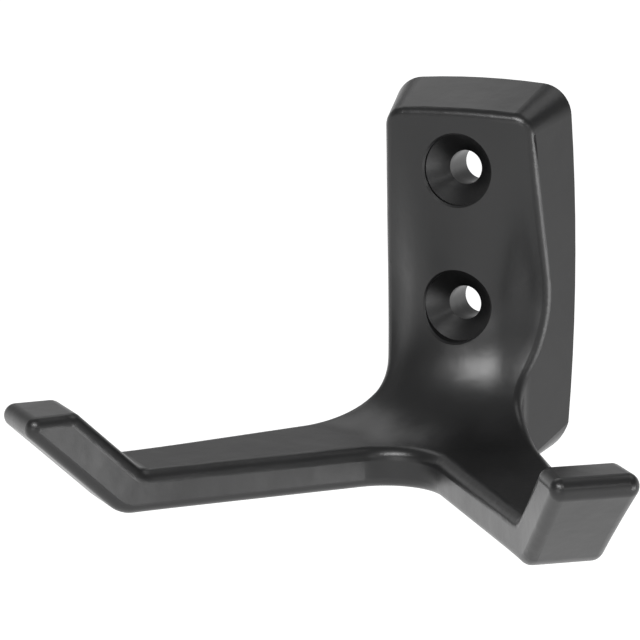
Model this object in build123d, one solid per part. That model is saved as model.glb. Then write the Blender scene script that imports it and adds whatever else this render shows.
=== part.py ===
"""Double robe hook: one die casting with a wall plate and two arms in a V.

Millimetres. X runs to the right, Y into the wall and Z up. The origin is on the
wall plane, midway between the two screw holes.
"""
import os
from math import acos, atan, atan2, cos, hypot, radians, sin, tan

from build123d import *

# Screw holes, one above the other
screw_spacing = 18.0
bore_diameter = 4.5
countersink_diameter = 9.3
countersink_angle = 90.0
countersink_lip = 0.9
lip_bevel = 0.25

# Wall plate: a block that narrows from its outline on the wall towards the front
plate_depth = 8.7
upper_hole_to_top = 11.15
lower_hole_to_underside = 21.0
plate_width = 26.7
plate_side_bow = 1.1
plate_top_bow = 0.7
plate_top_corner = 4.2
plate_bottom_corner = 6.8
side_draft = 18.6
top_draft = 21.2
front_top_bow = 0.3
front_top_corner = 2.0
front_side_taper = 1.2
block_depth = 12.0

# Front face: straight across at its top edge, more and more crowned further down,
# and turned by a hollow bend into the tops of the arms
crown = 3.7
crown_half_width = 11.2
flat_edge_drop = 3.3
bend_radius = 17.0
arm_height = 5.65
arm_tilt = 4.3

# Arms, seen from above
arm_angle = 40.0
arm_origin = 11.1
elbow_reach = 44.3
elbow_width = 9.3
flare_start = 1.3
neck_width = 20.1
neck_depth = 10.05
neck_radius = 3.6
crotch_corner_depth = 20.3
crotch_radius = 6.8
tip_flare = 3.1
flare_radius = 150.0

# Upturned ends, seen along the arm
tip_angle = 43.4
tip_thickness = 6.1
tip_height = 13.6
inner_elbow_radius = 2.0
outer_elbow_radius = 4.2
tip_inner_corner = 1.7
tip_outer_corner = 1.5

# Edges
edge_radius = 1.35

# Rounding of the plate's lower corners, largest on the wall and gone before the neck
run_out_depth = 8.0
run_out_radius = 1.2
corner_proud = 0.05

# Tolerances for finding points and edges
same_place = 0.01
across_slack = 0.6
upright_slack = 2.0
least_turn = 8

# Heights and reaches that follow from the sizes above
upper_hole_z = screw_spacing / 2
lower_hole_z = -screw_spacing / 2
plate_top = upper_hole_z + upper_hole_to_top
underside = lower_hole_z - lower_hole_to_underside
arm_top = underside + arm_height
tip_top = underside + tip_height
plan_elbow_reach = elbow_reach + flare_start
flat_edge_z = plate_top - flat_edge_drop
far = 3 * (plan_elbow_reach + arm_origin)


def bowed(start, middle, end, bow):
    """Arc through three points, or a line where there is no bow."""
    if bow == 0:
        return Line(start, end)
    return ThreePointArc(start, middle, end)


def plate_outline(depth, half, taper, top, side_bow, top_bow, top_corner):
    """Outline of the plate in the plane that stands this deep in front of the wall.

    The taper is what each side draws in from the top to the underside.
    """
    end_half = half - side_bow
    foot_half = end_half - taper
    middle = (top + underside) / 2
    corner_top = top - top_bow
    with BuildSketch(Plane.XZ.offset(depth)) as outline:
        with BuildLine():
            Line((-foot_half, underside), (foot_half, underside))
            bowed((foot_half, underside), (half, middle), (end_half, corner_top), side_bow)
            ThreePointArc((end_half, corner_top), (0, top), (-end_half, corner_top))
            bowed((-end_half, corner_top), (-half, middle), (-foot_half, underside), side_bow)
        make_face()
        fillet(outline.vertices().group_by(Axis.Y)[-1], top_corner)
    return outline.sketch


def wall_plate():
    """Tapered block of the plate, before its front face is cut and its lower corners rounded."""
    front_half = plate_width / 2 - block_depth * tan(radians(side_draft))
    front_top = plate_top - block_depth * tan(radians(top_draft))
    back = plate_outline(0, plate_width / 2, 0, plate_top, plate_side_bow, plate_top_bow, plate_top_corner)
    front = plate_outline(block_depth, front_half, front_side_taper, front_top, 0, front_top_bow,
                          front_top_corner)
    return loft([back, front], ruled=True)


def top_surface(x, y):
    """Height of the arms' top surface, which tilts down to their inner sides."""
    turn = radians(arm_angle)
    to_outer_side = abs(x) * cos(turn) + (y + arm_origin) * sin(turn)
    return arm_top + to_outer_side * tan(radians(arm_tilt))


def clearance_section(x):
    """Space in front of the plate and over the arms, cut by the plane X = x.

    Its lower edge is the face line, the bend and the line of the arm tops.
    """
    drop_back = crown * min(abs(x) / crown_half_width, 1) ** 2
    fall = atan(sin(radians(arm_angle)) * tan(radians(arm_tilt)))
    centre_y = -plate_depth + drop_back - bend_radius
    centre_z = top_surface(x, centre_y) + bend_radius / cos(fall)
    to_edge = Vector(-plate_depth - centre_y, flat_edge_z - centre_z)
    tangent_turn = atan2(to_edge.Y, to_edge.X) - acos(bend_radius / to_edge.length)
    end_turn = fall - radians(90)

    def on_bend(turn):
        return Vector(centre_y + bend_radius * cos(turn), centre_z + bend_radius * sin(turn))

    bend_start = on_bend(tangent_turn)
    bend_end = on_bend(end_turn)
    edge = Vector(-plate_depth, flat_edge_z)
    face_top = bend_start + (edge - bend_start).normalized() * far
    arm_end = bend_end - Vector(far, far * tan(fall))
    with BuildSketch(Plane.YZ.offset(x)) as section:
        with BuildLine():
            Line(face_top, bend_start)
            ThreePointArc(bend_start, on_bend((tangent_turn + end_turn) / 2), bend_end)
            Line(bend_end, arm_end)
            Polyline(arm_end, (arm_end.X, face_top.Y), face_top)
        make_face()
    return section.sketch


def clearance():
    """Everything in front of the plate's face and over the arms."""
    sections = [clearance_section(n * crown_half_width / 2) for n in range(-8, 9)]
    space = loft(sections)
    for section, hand in ((sections[0], -1), (sections[-1], 1)):
        space += extrude(section, far, dir=(hand, 0, 0))
    return space


def along_arm(reach, side):
    """Point of the plan at this reach along the right arm, this far to its outer side."""
    turn = radians(arm_angle)
    return Vector(reach * sin(turn) + side * cos(turn),
                  -arm_origin - reach * cos(turn) + side * sin(turn))


def arms_plan():
    """Outline of both arms from above, joined in front of the plate."""
    tip_reach = far / 2
    tip_half = elbow_width / 2 + (tip_reach - plan_elbow_reach) * tan(radians(tip_flare))
    outer_elbow = along_arm(plan_elbow_reach, elbow_width / 2)
    inner_elbow = along_arm(plan_elbow_reach, -elbow_width / 2)
    neck = Vector(neck_width / 2, -neck_depth)
    into_plate = neck + (neck - outer_elbow).normalized() * neck_depth / 2
    crotch = Vector(0, -crotch_corner_depth)
    right = [into_plate, outer_elbow, along_arm(tip_reach, tip_half), along_arm(tip_reach, -tip_half),
             inner_elbow]
    left = [Vector(-p.X, p.Y) for p in reversed(right)]
    with BuildSketch(Plane.XY.offset(underside)) as plan:
        with BuildLine():
            Polyline(*right, crotch, *left, close=True)
        make_face()
        for corner, radius in ((crotch, crotch_radius), (outer_elbow, flare_radius),
                               (inner_elbow, flare_radius)):
            ends = [v for v in plan.vertices()
                    if hypot(abs(v.X) - corner.X, v.Y - corner.Y) < same_place]
            fillet(ends, radius)
    return plan.sketch


def arm_plane(hand):
    """Upright plane along the middle of the right (1) or left (-1) arm."""
    turn = radians(arm_angle)
    return Plane(origin=(0, -arm_origin, 0), x_dir=(hand * sin(turn), -cos(turn), 0),
                 z_dir=(-cos(turn), -hand * sin(turn), 0))


def inner_line(z):
    """Reach of the upturned end's inner face at this height."""
    return elbow_reach + (z - arm_top) / tan(radians(tip_angle))


def outer_line(z):
    """Reach of the upturned end's outer face at this height."""
    return inner_line(z) + tip_thickness / sin(radians(tip_angle))


def tip_block(hand):
    """Prism of the upturned end, wider than the arm."""
    low = underside - tip_height
    points = [(inner_line(low), low), (outer_line(low), low), (outer_line(tip_top), tip_top),
              (inner_line(tip_top), tip_top)]
    return extrude(arm_plane(hand) * make_face(Polyline(*points, close=True)), far / 4, both=True)


def beyond_tip(hand):
    """Everything beyond the outer face of the upturned end."""
    low = underside - tip_height
    high = tip_top + tip_height
    points = [(outer_line(low), low), (far, low), (far, high), (outer_line(high), high)]
    return extrude(arm_plane(hand) * make_face(Polyline(*points, close=True)), far / 4, both=True)


def sharp_body():
    """Plate and arms with every edge still sharp."""
    arms = extrude(arms_plan(), tip_height + bend_radius)
    cut = clearance()
    for hand in (1, -1):
        cut -= tip_block(hand)
    body = (wall_plate() + arms) - cut
    for hand in (1, -1):
        body -= beyond_tip(hand)
    return body


def sharp_edges(shape):
    """Edges where two faces meet at more than the least turn, in degrees, apart from the wall plane."""
    faces_of = {}
    for face in shape.faces():
        for edge in face.edges():
            faces_of.setdefault(edge, []).append(face)
    found = ShapeList()
    for edge, faces in faces_of.items():
        if len(faces) != 2 or edge.length < same_place:
            continue
        middle = edge @ 0.5
        turn = faces[0].normal_at(middle).get_angle(faces[1].normal_at(middle))
        on_wall = all(abs((edge @ t).Y) < same_place for t in (0, 0.5, 1))
        if turn > least_turn and not on_wall:
            found.append(edge)
    return found


def edges_across(shape, reach, z):
    """Edges across the arms at this reach and height."""
    found = ShapeList()
    for hand in (1, -1):
        plane = arm_plane(hand)
        for edge in sharp_edges(shape):
            points = [plane.to_local_coords(edge @ t) for t in (0, 0.5, 1)]
            if all(abs(p.X - reach) < across_slack and abs(p.Y - z) < across_slack for p in points):
                found.append(edge)
    return found


def neck_edges(shape):
    """Upright hollow edges where the outer sides of the arms leave the plate."""
    found = ShapeList()
    for edge in sharp_edges(shape):
        box = edge.bounding_box()
        if box.size.Z > arm_height / 2 and box.max.Z < 0 and abs(edge.center().X) < plate_width / 2:
            if box.size.X < upright_slack and box.size.Y < upright_slack:
                found.append(edge)
    return found


def corner_section(depth):
    """Section of the tool that rounds the plate's lower right corner, this deep from the wall.

    It stands a little proud of the side and the underside, so that it cuts them cleanly.
    """
    along = depth / block_depth
    back_half = plate_width / 2 - plate_side_bow
    front_half = plate_width / 2 - block_depth * tan(radians(side_draft)) - front_side_taper
    side_rise = plate_top - plate_top_bow - underside
    lean = atan2(4 * plate_side_bow, side_rise) * (1 - along) + atan2(front_side_taper, side_rise) * along
    radius = plate_bottom_corner + (run_out_radius - plate_bottom_corner) * depth / run_out_depth
    corner = Vector(back_half + (front_half - back_half) * along + corner_proud, underside - corner_proud)
    reach = radius / tan((radians(90) + lean) / 2)
    side_point = corner + Vector(sin(lean), cos(lean)) * reach
    under_point = corner - Vector(reach, 0)
    centre = under_point + Vector(0, radius)
    middle = centre + (corner - centre).normalized() * radius
    outside = corner + Vector(radius, -radius)
    with BuildSketch(Plane.XZ.offset(depth)) as section:
        with BuildLine():
            ThreePointArc(side_point, middle, under_point)
            Polyline(under_point, (under_point.X, outside.Y), outside, (outside.X, side_point.Y), side_point)
        make_face()
    return section.sketch


def lower_corner(hand):
    """Tool that rounds the plate's lower corner on one side and runs out before the neck."""
    tool = loft([corner_section(-1), corner_section(run_out_depth)], ruled=True)
    return tool if hand > 0 else mirror(tool, Plane.YZ)


def screw_hole(z):
    """Tool for a countersunk hole: a short straight lip, the cone and the bore."""
    bore = bore_diameter / 2
    rim = countersink_diameter / 2
    cone_start = plate_depth - countersink_lip
    cone_end = cone_start - (rim - bore) / tan(radians(countersink_angle / 2))
    profile = Polyline((0, -1), (bore, -1), (bore, cone_end), (rim, cone_start), (rim, block_depth),
                       (0, block_depth), close=True)
    tool = revolve(make_face(profile), Axis.Y)
    return Pos(0, 0, z) * Rot(180, 0, 0) * tool


def rim_edges(shape, z):
    """Edges round the mouth of the screw hole at this height."""
    rim = countersink_diameter / 2
    cone_start = countersink_lip - plate_depth

    def at_mouth(edge):
        points = [edge @ t for t in (0, 0.5, 1)]
        on_rim = all(abs(hypot(p.X, p.Z - z) - rim) < same_place for p in points)
        return on_rim and edge.bounding_box().max.Y < cone_start - same_place

    return shape.edges().filter_by(at_mouth)


def double_hook():
    """The finished casting."""
    body = sharp_body()
    body = body.fillet(neck_radius, neck_edges(body))
    for reach, z, radius in ((elbow_reach, arm_top, inner_elbow_radius),
                             (outer_line(underside), underside, outer_elbow_radius),
                             (inner_line(tip_top), tip_top, tip_inner_corner),
                             (outer_line(tip_top), tip_top, tip_outer_corner)):
        body = body.fillet(radius, edges_across(body, reach, z))
    body = body.fillet(edge_radius, sharp_edges(body))
    for hand in (1, -1):
        body -= lower_corner(hand)
    holes = (upper_hole_z, lower_hole_z)
    for z in holes:
        body -= screw_hole(z)
    for z in holes:
        body = body.chamfer(lip_bevel, None, rim_edges(body, z))
    return body


os.makedirs("parts", exist_ok=True)
export_step(double_hook(), "parts/double_hook.step")
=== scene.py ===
"""Double robe hook in its satin black coat, lit as for a catalogue picture.

Metres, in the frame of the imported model: X to the right, Y into the wall, Z up.
"""
from math import cos, pi, radians, sin

import bpy
from mathutils import Matrix, Vector

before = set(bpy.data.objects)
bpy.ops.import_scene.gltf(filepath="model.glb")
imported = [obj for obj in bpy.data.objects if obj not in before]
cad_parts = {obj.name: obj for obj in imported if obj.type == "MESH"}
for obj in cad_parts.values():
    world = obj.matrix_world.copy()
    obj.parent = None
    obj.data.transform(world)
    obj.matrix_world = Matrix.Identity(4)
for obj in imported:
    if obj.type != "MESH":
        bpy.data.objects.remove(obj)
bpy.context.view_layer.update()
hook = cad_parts["double_hook"]

MM = 0.001

# Camera: the photograph's viewpoint, seen from the right and a little above
PHOTO_PIXELS = 640
VIEW_AZIMUTH = radians(25.98)
VIEW_ELEVATION = radians(11.83)
VIEW_ROLL = radians(-0.29)
FOCAL_PIXELS = 3000
SENSOR_WIDTH = 36.0
CAMERA_PLACE = Vector((152.33, -361.68, 69.78)) * MM
CLIP_NEAR = 10 * MM
CLIP_FAR = 100.0

# Floor, a disc well below the hook
FLOOR_HEIGHT = -320 * MM
FLOOR_RADIUS = 9.0
FLOOR_SIDES = 96
FLOOR_GREY = (0.5, 0.5, 0.5, 1)

# Surroundings: the wall's top and the ceiling's start are sines of their elevation
WHITE = (1, 1, 1, 1)
WALL_TOP = -0.05
CEILING_START = 0.45
WALL_LEVEL = 1
CEILING_LEVEL = 0.05
AMBIENT_LEVEL = 0.2

# Satin black coat: its two tones, its gloss and how much the gloss changes from place to place
COAT_BLACK = (0.006, 0.006, 0.0063, 1)
COAT_GREYER = (0.008, 0.008, 0.0083, 1)
COAT_IOR = 1.5
COAT_ROUGHNESS = 0.34
SHEEN_SIZE = 9 * MM
SHEEN_SPREAD = 0.12
GRAIN_SPREAD = 0.05

# Relief of the coat: waves of the casting, orange peel and grain, each with its size and height
CAST_SIZE = 6 * MM
CAST_HEIGHT = 0.1 * MM
PEEL_SIZE = 1.6 * MM
PEEL_HEIGHT = 0.02 * MM
GRAIN_SIZE = 0.22 * MM
GRAIN_HEIGHT = 0.003 * MM

# Noise: its middle value, and how many finer layers it has
NOISE_MIDDLE = 0.5
SMOOTH = 1.0
CLOUDY = 2.0

# Sockets of a Mix node that mixes colours
MIX_FACTOR = 0
MIX_FIRST = 6
MIX_SECOND = 7
MIX_RESULT = 2


class Signal:
    """A shader socket that takes part in Python arithmetic."""

    def __init__(self, sheet, socket):
        self.sheet = sheet
        self.socket = socket

    def combine(self, operation, first, second):
        return self.sheet.node("ShaderNodeMath", {"operation": operation}, {0: first, 1: second})

    def __add__(self, other):
        return self.combine("ADD", self, other)

    def __radd__(self, other):
        return self.combine("ADD", other, self)

    def __sub__(self, other):
        return self.combine("SUBTRACT", self, other)

    def __rsub__(self, other):
        return self.combine("SUBTRACT", other, self)

    def __mul__(self, other):
        return self.combine("MULTIPLY", self, other)

    def __rmul__(self, other):
        return self.combine("MULTIPLY", other, self)


class NodeSheet:
    """Node tree of one material or of the world."""

    def __init__(self, owner):
        owner.use_nodes = True
        self.tree = owner.node_tree
        self.tree.nodes.clear()

    def node(self, kind, settings=None, inputs=None, output=0):
        """Adds one node, its settings first, then the values or links of its sockets."""
        made = self.tree.nodes.new(kind)
        for name, value in (settings or {}).items():
            setattr(made, name, value)
        for key, value in (inputs or {}).items():
            if isinstance(value, Signal):
                self.tree.links.new(value.socket, made.inputs[key])
            else:
                made.inputs[key].default_value = value
        if not made.outputs:
            return None
        return Signal(self, made.outputs[output])


def satin_black_coat():
    """Near-black satin lacquer on a casting that waves a little.

    The lacquer has a faint orange peel and a fine grain, and its gloss is a little uneven.
    """
    coat = bpy.data.materials.new("satin_black_coat")
    sheet = NodeSheet(coat)
    place = sheet.node("ShaderNodeTexCoord", output="Object")

    def noise(size, detail):
        return sheet.node("ShaderNodeTexNoise", {"noise_dimensions": "3D"},
                          {"Vector": place, "Scale": 1 / size, "Detail": detail}, "Fac")

    cast = noise(CAST_SIZE, SMOOTH)
    peel = noise(PEEL_SIZE, SMOOTH)
    grain = noise(GRAIN_SIZE, CLOUDY)
    sheen = noise(SHEEN_SIZE, CLOUDY)
    roughness = (COAT_ROUGHNESS + (sheen - NOISE_MIDDLE) * SHEEN_SPREAD
                 + (grain - NOISE_MIDDLE) * GRAIN_SPREAD)
    height = ((cast - NOISE_MIDDLE) * CAST_HEIGHT + (peel - NOISE_MIDDLE) * PEEL_HEIGHT
              + (grain - NOISE_MIDDLE) * GRAIN_HEIGHT)
    relief = sheet.node("ShaderNodeBump", {}, {"Strength": 1.0, "Distance": 1.0, "Height": height})
    tone = sheet.node("ShaderNodeMix", {"data_type": "RGBA"},
                      {MIX_FACTOR: sheen, MIX_FIRST: COAT_BLACK, MIX_SECOND: COAT_GREYER},
                      MIX_RESULT)
    surface = sheet.node("ShaderNodeBsdfPrincipled", {},
                         {"Base Color": tone, "Metallic": 0.0, "Roughness": roughness,
                          "IOR": COAT_IOR, "Normal": relief})
    sheet.node("ShaderNodeOutputMaterial", {}, {"Surface": surface})
    return coat


def pale_floor():
    """Matt floor that takes the hook's shadow, with its material.

    It shows white to the camera, through glass and in what the coat mirrors.
    """
    finish = bpy.data.materials.new("pale_floor")
    sheet = NodeSheet(finish)
    camera = sheet.node("ShaderNodeLightPath", output="Is Camera Ray")
    glossy = sheet.node("ShaderNodeLightPath", output="Is Glossy Ray")
    through = sheet.node("ShaderNodeLightPath", output="Is Transmission Ray")
    matt = sheet.node("ShaderNodeBsdfDiffuse", {}, {"Color": FLOOR_GREY})
    shown = camera + glossy + through
    white = sheet.node("ShaderNodeEmission", {}, {"Color": WHITE, "Strength": shown})
    both = sheet.node("ShaderNodeAddShader", {}, {0: matt, 1: white})
    sheet.node("ShaderNodeOutputMaterial", {}, {"Surface": both})
    bpy.ops.mesh.primitive_circle_add(vertices=FLOOR_SIDES, radius=FLOOR_RADIUS, fill_type="NGON",
                                      location=(0, 0, FLOOR_HEIGHT))
    floor = bpy.context.object
    floor.name = "floor"
    floor.data.materials.append(finish)
    return floor


def white_surroundings():
    """White to the camera. What the coat mirrors is a white wall that darkens to the ceiling."""
    world = bpy.data.worlds.new("white_surroundings")
    sheet = NodeSheet(world)
    camera = sheet.node("ShaderNodeLightPath", output="Is Camera Ray")
    glossy = sheet.node("ShaderNodeLightPath", output="Is Glossy Ray")
    through = sheet.node("ShaderNodeLightPath", output="Is Transmission Ray")
    direction = sheet.node("ShaderNodeTexCoord", output="Generated")
    upward = sheet.node("ShaderNodeSeparateXYZ", {}, {"Vector": direction}, "Z")
    wall = sheet.node("ShaderNodeMapRange", {"interpolation_type": "SMOOTHSTEP"},
                      {"Value": upward, "From Min": WALL_TOP, "From Max": CEILING_START,
                       "To Min": WALL_LEVEL, "To Max": CEILING_LEVEL})
    strength = camera + (glossy + through) * wall + (1 - camera) * AMBIENT_LEVEL
    white = sheet.node("ShaderNodeBackground", {}, {"Color": WHITE, "Strength": strength})
    sheet.node("ShaderNodeOutputWorld", {}, {"Surface": white})
    bpy.context.scene.world = world


def towards(azimuth, elevation):
    """Direction at this azimuth, to the right of the front, and this elevation, in radians."""
    return Vector((sin(azimuth) * cos(elevation), -cos(azimuth) * cos(elevation), sin(elevation)))


def soft_box(name, azimuth, elevation, distance, width, height, level):
    """Area lamp that faces the origin, where the hook is.

    Its azimuth, to the right of the front, and its elevation are in degrees. The level is about
    what a white card at the hook would show.
    """
    away = towards(radians(azimuth), radians(elevation))
    lamp = bpy.data.lights.new(name, "AREA")
    lamp.shape = "RECTANGLE"
    lamp.size = width
    lamp.size_y = height
    lamp.energy = level * pi * pi * distance ** 2
    box = bpy.data.objects.new(name, lamp)
    box.location = away * distance
    box.rotation_euler = away.to_track_quat("Z", "Y").to_euler()
    bpy.context.scene.collection.objects.link(box)


def photograph_camera():
    """Camera at the photograph's viewpoint, rolled as it is."""
    back = towards(VIEW_AZIMUTH, VIEW_ELEVATION)
    level_right = Vector((cos(VIEW_AZIMUTH), sin(VIEW_AZIMUTH), 0))
    level_up = back.cross(level_right)
    right = level_right * cos(VIEW_ROLL) + level_up * sin(VIEW_ROLL)
    up = level_up * cos(VIEW_ROLL) - level_right * sin(VIEW_ROLL)
    lens = bpy.data.cameras.new("photograph_camera")
    lens.sensor_width = SENSOR_WIDTH
    lens.lens = FOCAL_PIXELS / PHOTO_PIXELS * SENSOR_WIDTH
    lens.clip_start = CLIP_NEAR
    lens.clip_end = CLIP_FAR
    camera = bpy.data.objects.new("photograph_camera", lens)
    turn = Matrix((right, up, back)).transposed().to_4x4()
    camera.matrix_world = Matrix.Translation(CAMERA_PLACE) @ turn
    bpy.context.scene.collection.objects.link(camera)
    bpy.context.scene.camera = camera


hook.data.materials.clear()
hook.data.materials.append(satin_black_coat())
pale_floor()
white_surroundings()
soft_box("key_box", azimuth=4, elevation=45,
         distance=0.9, width=0.62, height=0.2, level=0.8)
soft_box("rear_box", azimuth=-140, elevation=45,
         distance=1.0, width=0.6, height=0.4, level=0.09)
soft_box("low_left_box", azimuth=-122, elevation=-13,
         distance=0.9, width=0.6, height=0.3, level=0.03)
soft_box("low_right_box", azimuth=84, elevation=-14,
         distance=0.85, width=0.35, height=0.3, level=0.36)
soft_box("upper_right_box", azimuth=142, elevation=58,
         distance=1.0, width=0.6, height=0.4, level=0.09)
soft_box("front_box", azimuth=0, elevation=8,
         distance=0.9, width=0.5, height=0.25, level=0.1)
soft_box("strip_box", azimuth=54, elevation=24,
         distance=0.9, width=0.3, height=0.1, level=0.05)
photograph_camera()
bpy.context.scene.view_settings.view_transform = "Standard"
